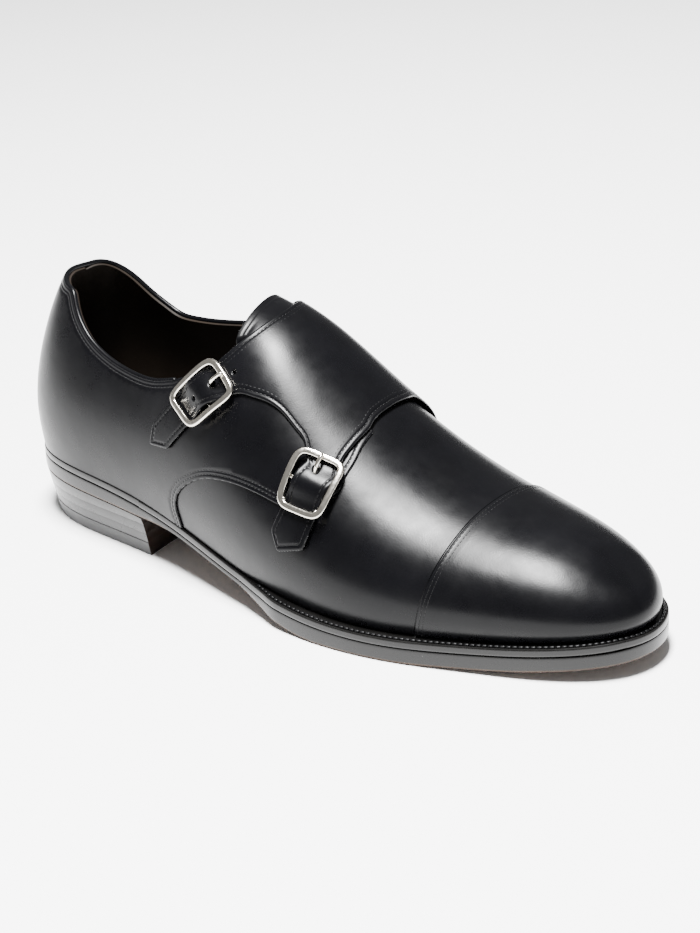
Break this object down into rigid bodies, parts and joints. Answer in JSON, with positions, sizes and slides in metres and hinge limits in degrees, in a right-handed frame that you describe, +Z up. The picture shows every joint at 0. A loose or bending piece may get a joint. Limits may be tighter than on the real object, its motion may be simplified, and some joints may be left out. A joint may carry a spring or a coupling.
{
  "type": "double monk strap shoe",
  "caption": "Right black calf leather shoe with a straight toe cap, a flap over the instep closed by buckled straps, a welted leather sole and a stacked heel.",
  "frame": {"origin": "centre of the heel's bottom face, on the floor", "axes": "+X to the toe, +Y to the inner (medial) side of the foot, +Z up"},
  "size_m": [0.2992, 0.1017, 0.1091],
  "materials": {
    "calf": "polished black box calf",
    "lining": "smooth brown lining leather",
    "sole_edge": "waxed dark edge",
    "sole": "oak-tanned sole leather with dark edges",
    "top_piece": "dense rubber top piece",
    "nickel": "polished nickel"
  },
  "bodies": {
    "root": {"outsole": "sole", "upper": "calf", "tongue": "calf", "insole": "lining", "welt": "sole_edge", "heel_rand": "sole_edge", "heel_top_piece": "top_piece", "heel_lift_1": "sole_edge", "heel_lift_2": "sole_edge", "heel_lift_3": "sole_edge", "toe_cap": "calf", "monk_flap": "calf", "buckle_upper": "nickel", "prong_upper": "nickel", "buckle_lower": "nickel", "prong_lower": "nickel"}
  },
  "joints": []
}
